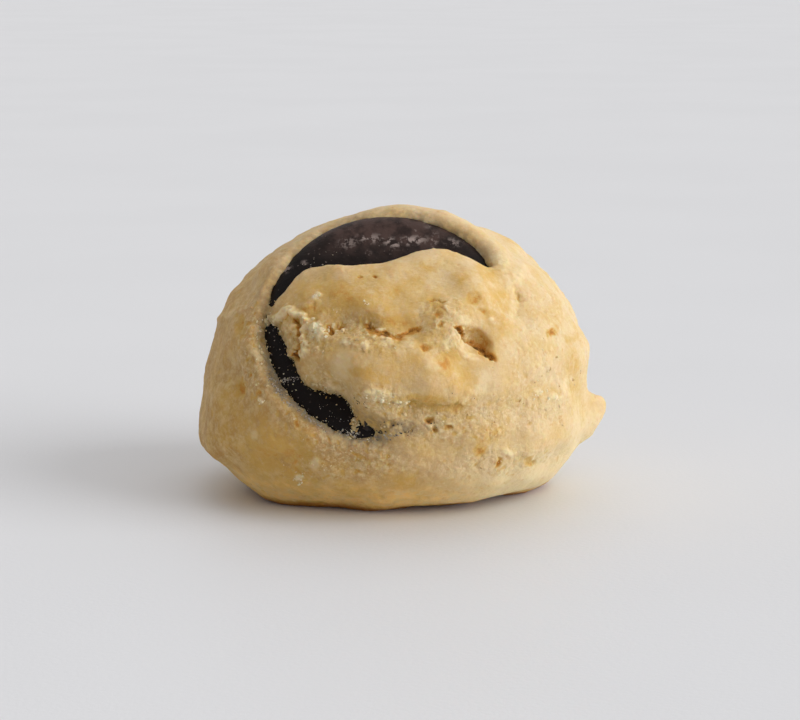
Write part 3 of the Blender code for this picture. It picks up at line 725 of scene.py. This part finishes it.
class DoughRelief:
    """The relief and the tints of the dough's skin, with one value for each vertex. Some of the tints
    are painted shade and painted light.

    Places wander, so that no outline in the picture is a plain ellipse. Facing is 1 on the
    front and 0 where the camera doesn't see. Clear is 0 in the chocolate's pocket, else 1.
    """

    def __init__(self, skin):
        self.skin = skin
        self.points, self.normals = vertices(skin)
        count = len(self.points)
        self.facing = fade(*FACING, self.normals @ np.array(TO_CAMERA))
        self.clear = 1.0 - in_pocket(skin)
        self.lifted = self.points[:, 2] > LIFTED
        self.nearest, self.gap = nearest_chocolate(self.points)
        self.wander = self.noise_pair(EDGE_WANDER_SIZE, WANDER_SEEDS)
        fray = self.noise_pair(EDGE_FRAY_SIZE, FRAY_SEEDS)
        self.places = picture_places(self.points) + EDGE_WANDER * self.wander + EDGE_FRAY * fray
        self.lumpy = 1.0 + LUMPY * noise_field(self.points, LUMPY_SIZE, LUMPY_SEED)
        self.torn = self.torn_share()
        # Painted light: the dough is paler on its lit right side and top
        side = self.points[:, 0] + LIT_SIDE_HEIGHT * (self.points[:, 2] - MIDDLE_HEIGHT)
        self.side = fade(*LIT_SIDE, side + self.wander[:, 0])
        self.height, self.warm_and_painted_shade, self.pale_and_painted_highlight = np.zeros(count), np.zeros(count), np.zeros(count)
        self.slide = np.zeros((count, 2))
        self.add_lumps()
        self.add_pores()
        self.add_creases()
        self.add_ridges()
        self.add_spots()
        self.add_painted_shade_and_light()

    def noise_pair(self, size, seeds):
        return np.stack([noise_field(self.points, size, seed) for seed in seeds], axis=1)

    def torn_share(self):
        """How torn and crumbly the dough is, from 0 to 1."""
        front = np.zeros(len(self.points))
        for middle, half, turn, strength in TORN:
            share = in_ellipse(self.places, middle, half, turn, TORN_EDGE)
            front = np.maximum(front, strength * share)
        for middle, half, turn, strength in SMOOTH:
            front *= 1.0 - strength * in_ellipse(self.places, middle, half, turn, SMOOTH_EDGE)
        around = fade(*AROUND, noise_field(self.points, AROUND_SIZE, AROUND_SEED))
        return self.facing * front + (1.0 - self.facing) * around

    def add_lumps(self):
        for i, (size, where_smooth, where_torn) in enumerate(WAVES):
            field = noise_field(self.points, size, WAVES_SEED + i)
            self.height += field * (where_smooth + (where_torn - where_smooth) * self.torn)
        for i, (size, where_smooth, where_torn) in enumerate(CRUMBLE):
            field = crumble_field(self.points, size, CRUMBLE_SEED + i) - CRUMBLE_MIDDLE
            self.height += field * (where_smooth + (where_torn - where_smooth) * self.torn)

    def add_pores(self):
        pores = fade(*PORE, noise_field(self.points, PORE_SIZE, PORE_SEED))
        pores *= PORE_SMOOTH + (1.0 - PORE_SMOOTH) * self.torn
        pores *= 1.0 - PORE_FEWER * self.side * self.facing
        self.height -= PORE_DEPTH * pores
        # painted shade in the pores
        self.warm_and_painted_shade = np.maximum(self.warm_and_painted_shade, PORE_SHADE_TINT * pores)

    def add_creases(self):
        broken = np.minimum(1.0, 1.0 + BROKEN * noise_field(self.points, BROKEN_SIZE, BROKEN_SEED))
        for chain, (reach_left, reach_right, depth, lean, tint) in CREASES:
            distance, left = beside_chain(self.places, chain)
            ratio = np.where(distance > 0, distance / reach_left, -distance / reach_right)
            self.height -= depth * (1.0 - fade(*CREASE_EDGE, ratio)) * broken * self.facing
            # painted shade in the crease
            tinted = tint * (1.0 - fade(*CREASE_SHADE_EDGE, ratio)) * self.facing
            self.warm_and_painted_shade = np.maximum(self.warm_and_painted_shade, tinted)
            over = np.where(distance > 0, 1.0 - fade(0.0, LEAN_REACH * reach_left, distance), 0.0)
            self.slide -= left * (lean * over * self.facing)[:, None]

    def add_ridges(self):
        for chain, (half_width, rise, paleness) in RIDGES:
            distance, _ = beside_chain(self.places, chain)
            share = 1.0 - fade(*RIDGE_EDGE, np.abs(distance) / half_width)
            self.height += rise * share * self.lumpy * self.facing
            self.pale_and_painted_highlight = np.maximum(self.pale_and_painted_highlight, paleness * share * self.lumpy * self.facing)

    def add_spots(self):
        for middle, half, turn, rise, tint in SPOTS:
            share = in_ellipse(self.places, middle, half, turn, RISE_EDGE)
            self.height += rise * share * self.facing * (self.lumpy if rise > 0.0 else 1.0)
            # Their tints: painted shade in pits, golden patches partly painted shade, pale spots
            # partly painted highlights
            edge = AREA_EDGE if rise == 0.0 else SPOT_EDGE
            tinted = in_ellipse(self.places, middle, half, turn, edge)
            self.warm_and_painted_shade = np.maximum(self.warm_and_painted_shade, -tint * tinted * self.facing)
            self.pale_and_painted_highlight = np.maximum(self.pale_and_painted_highlight, tint * share * self.facing)

    def add_painted_shade_and_light(self):
        """Painted shade and light by height: warm painted shade in hollows, a painted orange glow
        just above the floor, and painted highlights on torn tops.
        """
        relief = self.height - blurred(self.skin, self.height, CAVITY_ROUNDS)
        self.warm_and_painted_shade = np.maximum(self.warm_and_painted_shade, HOLLOW_SHADE_TINT * fade(*HOLLOW_SHADE, -relief))
        self.pale_and_painted_highlight = np.maximum(self.pale_and_painted_highlight, fade(*TOP_HIGHLIGHT, relief) * self.torn)
        painted_glow = PAINTED_GLOW_TINT * (1.0 - fade(*PAINTED_GLOW, self.points[:, 2])) * self.lifted
        self.warm_and_painted_shade = np.maximum(self.warm_and_painted_shade, painted_glow)

    def stain(self):
        """Chocolate that is smeared into the dough."""
        stain = RIM_STAIN * (1.0 - fade(*RIM_STAIN_REACH, self.gap)) * self.facing
        for middle, half, turn, strength in STAINS:
            share = in_ellipse(self.places, middle, half, turn, STAIN_EDGE)
            stain = np.maximum(stain, strength * share * self.facing)
        return stain

    def dust(self):
        """Dust along the lower left rim of the chocolate."""
        middle = np.array(sum(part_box("chocolate_disc"), Vector()) / 2.0 / MM)
        across = self.points - middle
        across -= (across @ np.array(CHOCOLATE_FACES))[:, None] * np.array(CHOCOLATE_FACES)
        near = 1.0 - fade(*DUST_REACH, self.gap)
        dust = fade(*RIM, np.linalg.norm(across, axis=1)) * near * self.clear
        return dust * ((1.0 - fade(*DUST_HEIGHT, self.places[:, 1])) * self.facing)

    def pushed(self):
        """How far the dough is pushed to the right and up along the chocolate's face."""
        push = np.zeros((len(self.points), 2))
        for middle, half, turn, way in PUSHES:
            share = in_ellipse(self.places, middle, half, turn, PUSH_EDGE)
            push += share[:, None] * np.array(way)
        return push * (1.0 - fade(*PUSH_END, self.points[:, 1])[:, None])

    def gripped(self):
        """How far the dough is drawn to the chocolate, with a ragged edge."""
        near = 1.0 - fade(*RAGGED_REACH, self.gap)
        ragged = RAGGED * noise_field(self.points, RAGGED_SIZE, RAGGED_SEED) * near
        ragged *= self.clear * (RAGGED_SMOOTH + (1.0 - RAGGED_SMOOTH) * self.torn)
        return GRIP * (1.0 - fade(*GRIP_REACH, self.gap)) + ragged

    def moved_points(self):
        """Where the relief takes the vertices, none of them below the floor."""
        to_chocolate = (self.nearest - self.points) / self.gap[:, None]
        points = self.points + self.normals * (self.height * self.clear)[:, None]
        points += (self.slide * self.clear[:, None]) @ np.array((RIGHT, UP))
        gripped = to_chocolate * self.gripped()[:, None]
        points += gripped + self.pushed() @ np.array((RIGHT, ALONG_CHOCOLATE))
        points[:, 2] = np.maximum(points[:, 2], 0.0)
        return points

    def tints(self):
        x, z = self.points[:, 0], self.points[:, 2]
        return {
            "torn": self.torn,
            "warm_and_painted_shade": self.warm_and_painted_shade,
            "pale_and_painted_highlight": self.pale_and_painted_highlight,
            "stain": self.stain(),
            # painted contact shade next to the floor
            "contact_shade": (1.0 - fade(*CONTACT_SHADE, z)) * self.lifted,
            # painted light of the floor's bounce just above the floor
            "floor_bounce_light": 1.0 - fade(*FLOOR_BOUNCE, z + self.wander[:, 1]),
            # painted light on the lower right
            "lower_right_light": fade(*LOWER_RIGHT_LIGHT, x) * (1.0 - fade(*LOWER_RIGHT_LIGHT_END, z)),
            # painted light on the lit right side and top
            "side": self.side,
            "dust": self.dust(),
        }


def finish_skin(skin, node, material):
    skin.data.materials.clear()
    skin.data.materials.append(material)
    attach(skin, "root")
    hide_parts(node)


def dress_dough():
    skin = even_skin("dough_skin", "dough", DOUGH_VOXEL, DOUGH_ROUNDS)
    refine(skin)
    relief = DoughRelief(skin)
    move_vertices(skin, relief.moved_points())
    skin.data.shade_smooth()
    for name, values in relief.tints().items():
        set_attribute(skin, name, values)
    thin_out(skin, DOUGH_TRIANGLES)
    finish_skin(skin, "dough", dough_material())
    return skin


def dress_chocolate():
    skin = even_skin("chocolate_skin", "chocolate_disc", CHOCOLATE_VOXEL, CHOCOLATE_ROUNDS)
    points, normals = vertices(skin)
    places = picture_places(points)
    facing = fade(*CHOCOLATE_FACING, normals @ np.array(TO_CAMERA))
    bloom = np.zeros(len(points))
    for middle, half, turn, strength in BLOOM:
        share = in_ellipse(places, middle, half, turn, BLOOM_EDGE)
        bloom = np.maximum(bloom, strength * share * facing)
    height = np.full(len(points), CHOCOLATE_GROWTH)
    for size, rise, seed in CHOCOLATE_WAVES:
        height += rise * noise_field(points, size, seed)
    height += BLOOM_HEIGHT * bloom * noise_field(points, BLOOM_WRINKLES, BLOOM_SEED)
    move_vertices(skin, points + normals * height[:, None])
    skin.data.shade_smooth()
    set_attribute(skin, "bloom", bloom)
    # painted sheen on the chocolate's upper face
    set_attribute(skin, "painted_sheen", in_ellipse(places, *SHEEN, 0.0, SHEEN_EDGE) * facing)
    finish_skin(skin, "chocolate_disc", chocolate_material())
    return skin


class Ground:
    """The skins on which crumbs can lie."""

    def __init__(self, *skins):
        self.trees = [surface_tree(skin) for skin in skins]

    def under(self, place):
        """The skin at a picture place and the point there, or None."""
        way = AIM + place[0] * RIGHT + place[1] * UP - EYE
        hits = []
        for index, tree in enumerate(self.trees):
            point, _, _, distance = tree.ray_cast(EYE, way)
            if point:
                hits.append((distance, index, point))
        return min(hits)[1:] if hits else None

    def at_edge(self, place, reach):
        """Whether both skins show within reach of a picture place."""
        u, v = place
        around = ((u + reach, v), (u, v + reach), (u - reach, v), (u, v - reach))
        found = [self.under(near) for near in around]
        return len({hit[0] for hit in found if hit}) == len(self.trees)


def drawn_place(draw, middle, half, turn):
    """A random picture place in an ellipse, more often near its middle."""
    angle, reach = draw.uniform(0.0, math.tau), draw.uniform(0.0, 1.0) ** MIDDLE_BIAS
    x, y = half[0] * reach * math.cos(angle), half[1] * reach * math.sin(angle)
    c, s = math.cos(math.radians(turn)), math.sin(math.radians(turn))
    return middle[0] + c * x - s * y, middle[1] + s * x + c * y


def drawn_size(draw, smallest, largest):
    """A random radius, small more often than large."""
    return smallest + (largest - smallest) * draw.uniform(0.0, 1.0) ** SMALL_BIAS


def spots_in_areas(ground, areas, draw):
    spots = []
    for middle, half, turn, number, smallest, largest in areas:
        for _ in range(number):
            hit = ground.under(drawn_place(draw, middle, half, turn))
            if hit:
                spots.append((hit[1], -TO_CAMERA, drawn_size(draw, smallest, largest)))
    return spots


def spots_at_edge(ground, draw):
    """Spots along the rim where dough meets bare chocolate, below the tongue's top."""
    spots = []
    while len(spots) < EDGE_CRUMBS:
        place = (draw.uniform(*EDGE_U), draw.uniform(*EDGE_V))
        if ground.at_edge(place, EDGE_REACH):
            hit = ground.under(place)
            spots.append((hit[1], -TO_CAMERA, drawn_size(draw, *EDGE_CRUMB_SIZES)))
    return spots


def spots_unseen(skin, draw):
    """Spots in the torn patches that the camera doesn't see."""
    points, normals = vertices(skin)
    torn = np.empty(len(points))
    skin.data.attributes["torn"].data.foreach_get("value", torn)
    away = (normals @ np.array(TO_CAMERA) < FACING[0]) & (points[:, 2] > UNSEEN_HEIGHT)
    open_air = nearest_chocolate(points)[1] > UNSEEN_CLEAR
    found = np.nonzero((torn > UNSEEN_TORN) & away & open_air)[0]
    spots = []
    for i in draw.sample(found.tolist(), UNSEEN_CRUMBS):
        radius = drawn_size(draw, *UNSEEN_CRUMB_SIZES)
        spots.append((Vector(points[i]), -Vector(normals[i]), radius))
    return spots


def crumb_shape(draw):
    """Corners and faces of an angular crumb of radius 1, its edges worn round."""
    bm = bmesh.new()
    for _ in range(CRUMB_CORNERS):
        way = Vector([draw.gauss(0.0, 1.0) for _ in range(3)]).normalized()
        bm.verts.new(way * draw.uniform(*CRUMB_REACH))
    hull = bmesh.ops.convex_hull(bm, input=bm.verts)
    bmesh.ops.delete(bm, geom=hull["geom_interior"], context="VERTS")
    bmesh.ops.subdivide_edges(bm, edges=bm.edges, cuts=1, smooth=CRUMB_ROUNDING, use_grid_fill=True)
    bmesh.ops.triangulate(bm, faces=bm.faces)
    for vert in bm.verts:
        place = vert.co * CRUMB_UNEVEN_RATE + Vector((draw.random(), 0.0, 0.0))
        vert.co *= 1.0 + CRUMB_UNEVEN * noise.noise(place)
    bm.verts.index_update()
    corners = np.array([v.co for v in bm.verts])
    faces = np.array([[v.index for v in f.verts] for f in bm.faces])
    bm.free()
    return corners, faces


def make_crumbs(name, spots, material, draw):
    """One mesh of crumbs. Each is sunk in at its spot: a point, the way into the dough there
    and a radius."""
    shapes = [crumb_shape(draw) for _ in range(CRUMB_SHAPES)]
    points, faces, tones = [], [], []
    count = 0
    for point, way, radius in spots:
        corners, sides = draw.choice(shapes)
        turn = Quaternion([draw.gauss(0.0, 1.0) for _ in range(4)]).normalized()
        turn = np.array(turn.to_matrix())
        stretch = np.array([draw.uniform(*CRUMB_STRETCH) for _ in range(3)])
        middle = np.array(point + way * radius * CRUMB_SINK)
        points.append((corners * stretch * radius) @ turn.T + middle)
        faces.append(sides + count)
        tones.append(np.full(len(corners), draw.random()))
        count += len(corners)
    mesh = bpy.data.meshes.new(name)
    mesh.from_pydata((np.concatenate(points) * MM).tolist(), [], np.concatenate(faces).tolist())
    mesh.materials.append(material)
    crumbs = new_object(name, mesh)
    set_attribute(crumbs, "tone", np.concatenate(tones))
    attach(crumbs, "root")


def scatter_crumbs(dough, chocolate):
    draw = random.Random(CRUMB_SEED)
    ground = Ground(dough, chocolate)
    for name, areas, look, first, second, slot in CRUMBS:
        spots = spots_in_areas(ground, areas, draw)
        if areas is DOUGH_CRUMBS:
            spots += spots_at_edge(ground, draw)
            spots += spots_unseen(dough, draw)
        make_crumbs(name, spots, crumb_material(look, first, second), draw)


class Graph:
    """Builds a material's nodes in one line each."""

    def __init__(self, name):
        self.material = bpy.data.materials.new(name)
        self.material.use_nodes = True
        self.tree = self.material.node_tree
        self.shader = self.tree.nodes["Principled BSDF"]
        self.place = self.add("ShaderNodeTexCoord").outputs["Object"]

    def add(self, kind, settings=(), **sockets):
        node = self.tree.nodes.new(kind)
        for key, value in dict(settings).items():
            setattr(node, key, value)
        self.feed(node, **sockets)
        return node

    def put(self, value, socket):
        if isinstance(value, bpy.types.NodeSocket):
            self.tree.links.new(value, socket)
        else:
            socket.default_value = value

    def feed(self, node, **sockets):
        for key, value in sockets.items():
            self.put(value, node.inputs[key.replace("_", " ")])

    def attribute(self, name):
        return self.add("ShaderNodeAttribute", {"attribute_name": name}).outputs["Fac"]

    def noise(self, look):
        """The noise of a pattern or bump."""
        node = self.add("ShaderNodeTexNoise", Vector=self.place, Scale=1.0 / (look.size * MM))
        self.feed(node, Detail=look.detail, Roughness=look.roughness)
        return node.outputs["Fac"]

    def pattern(self, look):
        return self.ramp(self.noise(look), look.low, look.high, look.least, look.most)

    def ramp(self, value, low, high, to_low=0.0, to_high=1.0):
        node = self.add("ShaderNodeMapRange", {"interpolation_type": "SMOOTHSTEP"}, Value=value)
        self.feed(node, From_Min=low, From_Max=high, To_Min=to_low, To_Max=to_high)
        return node.outputs["Result"]

    def between(self, share, shares):
        """The first value where share is 0, and the second where it is 1."""
        return self.ramp(share, 0.0, 1.0, *shares)

    def math(self, operation, first, second):
        node = self.add("ShaderNodeMath", {"operation": operation})
        self.put(first, node.inputs[0])
        self.put(second, node.inputs[1])
        return node.outputs["Value"]

    def times(self, first, second):
        return self.math("MULTIPLY", first, second)

    def mix(self, share, first, second):
        """A colour between a colour or socket and a second colour."""
        node = self.add("ShaderNodeMix", {"data_type": "RGBA"})
        plain = not isinstance(first, bpy.types.NodeSocket)
        self.put(share, node.inputs[0])
        self.put((*first, 1.0) if plain else first, node.inputs[6])
        self.put((*second, 1.0), node.inputs[7])
        return node.outputs[2]

    def bump(self, look, share=None, normal=None):
        """Bumps that are as deep as share says, on top of a normal."""
        height = self.times(self.noise(look), share) if share else self.noise(look)
        node = self.add("ShaderNodeBump", Height=height, Distance=look.depth * MM, Strength=1.0)
        if normal:
            self.feed(node, Normal=normal)
        return node.outputs["Normal"]


def dough_material():
    g = Graph("raw_dough")
    torn = g.attribute("torn")
    warm_and_painted_shade = g.times(g.attribute("warm_and_painted_shade"), g.pattern(WARM_BREAKS))
    # Painted light: paler on the lit right side and top
    colour = g.mix(g.attribute("side"), DOUGH, DOUGH_LIT_SIDE)
    # Painted light of the floor's bounce just above the floor
    colour = g.mix(g.times(g.attribute("floor_bounce_light"), FLOOR_BOUNCE_SHARE), colour, DOUGH_FLOOR_BOUNCE)
    colour = g.mix(g.pattern(MOTTLE), colour, DOUGH_GOLD)
    # Painted light on the lower right
    colour = g.mix(g.times(g.attribute("lower_right_light"), LOWER_RIGHT_LIGHT_SHARE), colour, DOUGH_PALE)
    colour = g.mix(g.pattern(BLOTCHES), colour, DOUGH_PALE)
    colour = g.mix(g.pattern(SPECKLES), colour, DOUGH_WARM)
    flecks = g.times(g.pattern(FLECKS), g.between(torn, FLECK_SHARES))
    colour = g.mix(flecks, colour, DOUGH_PALE)
    flecks = g.times(g.pattern(DARK_FLECKS), g.between(torn, DARK_FLECK_SHARES))
    colour = g.mix(flecks, colour, DOUGH_WARM)
    # Painted shade in creases, pores and hollows and a painted glow above the floor, through the
    # gold, warm and deep tints; painted highlights partly through the pale tint
    colour = g.mix(g.ramp(warm_and_painted_shade, *GOLD_AND_SHADE_TINT), colour, DOUGH_GOLD)
    colour = g.mix(g.ramp(g.attribute("pale_and_painted_highlight"), *PALE_AND_HIGHLIGHT_TINT), colour, DOUGH_PALE)
    colour = g.mix(g.ramp(warm_and_painted_shade, *WARM_AND_SHADE_TINT), colour, DOUGH_WARM)
    colour = g.mix(g.ramp(warm_and_painted_shade, *DEEP_SHADE_TINT), colour, DOUGH_DEEP_SHADE)
    # Painted contact shade next to the floor
    colour = g.mix(g.attribute("contact_shade"), colour, DOUGH_CONTACT_SHADE)
    colour = g.mix(g.times(g.attribute("dust"), g.pattern(DUST_GRAIN)), colour, DOUGH_DUST)
    colour = g.mix(g.times(g.attribute("stain"), g.pattern(SMEAR_GRAIN)), colour, DOUGH_STAIN)
    share = g.between(torn, BUMP_SHARES)
    normal = g.bump(DOUGH_BUMPS, share, g.bump(DOUGH_GRAIN, share))
    g.feed(g.shader, Base_Color=colour, Normal=normal, **DOUGH_SURFACE)
    return g.material


def chocolate_material():
    g = Graph("dark_chocolate")
    # Painted sheen on the chocolate's upper face
    painted_sheen = g.times(g.attribute("painted_sheen"), g.pattern(SHEEN_CLOUDS))
    colour = g.mix(painted_sheen, CHOCOLATE, CHOCOLATE_PALE_AND_SHEEN)
    streaks = g.times(g.attribute("bloom"), g.pattern(BLOOM_STREAKS))
    bloom = g.math("MAXIMUM", streaks, g.pattern(BLOOM_SPECKS))
    colour = g.mix(bloom, colour, CHOCOLATE_BLOOM)
    g.feed(g.shader, Base_Color=colour, Normal=g.bump(CHOCOLATE_BUMPS), **CHOCOLATE_SURFACE)
    return g.material


def crumb_material(name, colour, second):
    g = Graph(name)
    colour = g.mix(g.attribute("tone"), colour, second)
    g.feed(g.shader, Base_Color=colour, Normal=g.bump(CRUMB_BUMPS), **CRUMB_SURFACE)
    return g.material


def floor_material():
    g = Graph("pale_floor")
    colour = g.mix(g.pattern(FLOOR_CLOUDS), FLOOR, [FLOOR_DIM * c for c in FLOOR])
    g.feed(g.shader, Base_Color=colour, Normal=g.bump(FLOOR_BUMPS), **FLOOR_SURFACE)
    return g.material


def make_floor():
    mesh = bpy.data.meshes.new("floor")
    near, far = -FLOOR_HALF, FLOOR_HALF
    corners = [(near, near, 0), (far, near, 0), (far, far, 0), (near, far, 0)]
    mesh.from_pydata(corners, [], [(0, 1, 2, 3)])
    mesh.materials.append(floor_material())
    floor = new_object("floor", mesh)


def aim(obj, target):
    way = Vector(target) - obj.location
    obj.rotation_euler = way.to_track_quat("-Z", "Y").to_euler()


def make_camera():
    data = bpy.data.cameras.new("camera")
    data.lens, data.sensor_width, data.clip_start = LENS, SENSOR, CLIP_START
    camera = new_object("camera", data)
    camera.location = EYE * MM
    aim(camera, AIM * MM)
    bpy.context.scene.camera = camera


def soft_light(name, azimuth, elevation, spread, strength, colour):
    """A light far off that fills a round patch of the sky, spread degrees wide."""
    a, e = math.radians(azimuth), math.radians(elevation)
    data = bpy.data.lights.new(name, "SUN")
    data.angle = math.radians(spread)
    data.energy = strength
    data.color = colour
    light = new_object(name, data)
    light.location = Vector((math.sin(a) * math.cos(e), -math.cos(a) * math.cos(e), math.sin(e)))
    aim(light, (0.0, 0.0, 0.0))


def make_world():
    """Soft light from all round: brightest above, behind and to the right, and dim in front."""
    world = bpy.data.worlds.new("studio")
    world.use_nodes = True
    tree = world.node_tree
    background = tree.nodes["Background"]
    way = tree.nodes.new("ShaderNodeTexCoord")
    tilt = tree.nodes.new("ShaderNodeVectorMath")
    tilt.operation = "DOT_PRODUCT"
    tilt.inputs[1].default_value = WORLD_WAY
    ramp = tree.nodes.new("ShaderNodeMapRange")
    for name, value in zip(("From Min", "From Max", "To Min", "To Max"), WORLD_SPAN + WORLD_STRENGTH):
        ramp.inputs[name].default_value = value
    tree.links.new(way.outputs["Generated"], tilt.inputs[0])
    tree.links.new(tilt.outputs["Value"], ramp.inputs["Value"])
    tree.links.new(ramp.outputs["Result"], background.inputs["Strength"])
    background.inputs["Color"].default_value = WORLD_COLOUR
    bpy.context.scene.world = world


def main():
    noise.seed_set(NOISE_SEED)
    bpy.context.scene.view_settings.view_transform = "Standard"
    make_camera()
    make_floor()
    make_world()
    for light in LIGHTS:
        soft_light(*light)
    scatter_crumbs(dress_dough(), dress_chocolate())


main()
